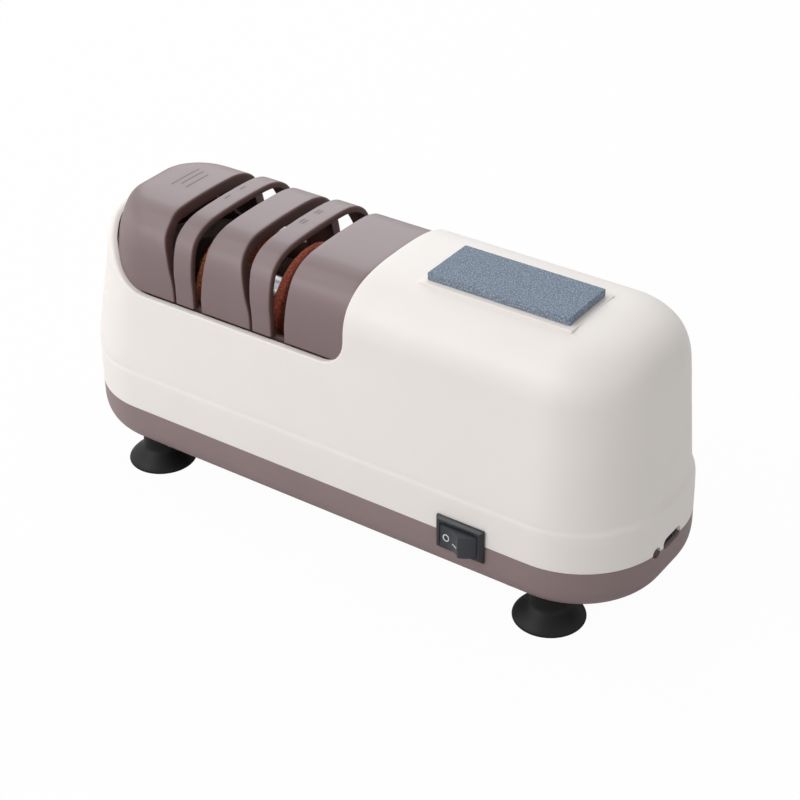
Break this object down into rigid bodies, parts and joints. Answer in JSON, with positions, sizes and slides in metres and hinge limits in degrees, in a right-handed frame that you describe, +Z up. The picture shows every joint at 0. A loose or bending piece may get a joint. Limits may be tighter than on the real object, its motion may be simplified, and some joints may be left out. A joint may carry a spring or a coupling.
{
  "type": "electric knife sharpener",
  "caption": "Cordless electric knife sharpener: slotted guide over a coarse and a fine grinding wheel, a whetstone on its roof, a rocker switch and suction feet.",
  "frame": {"origin": "middle of the bounding box on the table plane that the suction feet stand on; the wheel shaft lies 2.1 mm behind it", "axes": "+X towards the charging end, +Y to the rear, away from the switch side, +Z up"},
  "size_m": [0.19, 0.0677, 0.0884],
  "materials": {
    "cream_plastic": "matt ivory moulding",
    "mauve_plastic": "matt mauve grey moulding",
    "mauve_base": "matt mauve grey moulding",
    "stone": "fine granular blue grey abrasive stone",
    "adhesive": "thin double-sided pad",
    "black_rubber": "soft black rubber",
    "black_plastic": "satin black moulding",
    "brass": "plain",
    "steel": "plain",
    "board_green": "coated laminate",
    "chip_black": "moulded packages",
    "led_clear": "clear epoxy",
    "cell_sleeve": "shrink sleeve over a steel can",
    "frame_grey": "glass-filled moulding",
    "coarse_abrasive": "bonded coarse grit",
    "fine_abrasive": "bonded fine grit"
  },
  "bodies": {
    "body": {"upper_housing": "cream_plastic", "base_tray": "mauve_base", "blade_guide": "mauve_plastic", "whetstone": "stone", "stone_adhesive": "adhesive", "foot_front_left": "black_rubber", "foot_front_right": "black_rubber", "foot_rear_left": "black_rubber", "foot_rear_right": "black_rubber", "switch_body": "black_plastic", "switch_terminals": "brass", "usb_port": "steel", "usb_tongue": "black_plastic", "charge_board": "board_green", "board_components": "chip_black", "status_led": "led_clear", "battery_cell": "cell_sleeve", "battery_tabs": "steel", "bearing_frame": "frame_grey", "left_bush": "brass", "right_bush": "brass", "motor_can": "steel", "motor_end_cap": "black_plastic", "motor_terminals": "brass", "motor_plate": "steel", "motor_screws": "steel", "base_screws": "steel", "frame_screws": "steel", "board_screws": "steel", "coarse_springs": "steel", "fine_springs": "steel"},
    "rotor": {"motor_shaft": "steel", "coupling": "black_plastic", "wheel_shaft": "steel", "coarse_wheel": "coarse_abrasive", "fine_wheel": "fine_abrasive", "wheel_spacers": "steel", "shaft_clip": "steel"},
    "rocker": {"rocker": "black_plastic"}
  },
  "joints": [
    {"name": "wheel_spin", "type": "hinge", "parent": "body", "child": "rotor", "pos_m": [0, 0.0021, 0.0585], "axis": [1, 0, 0], "continuous": true},
    {"name": "switch_rocker", "type": "hinge", "parent": "body", "child": "rocker", "pos_m": [0.04775, -0.02765, 0.0245], "axis": [0, 0, 1], "range_deg": [0, 29]}
  ]
}
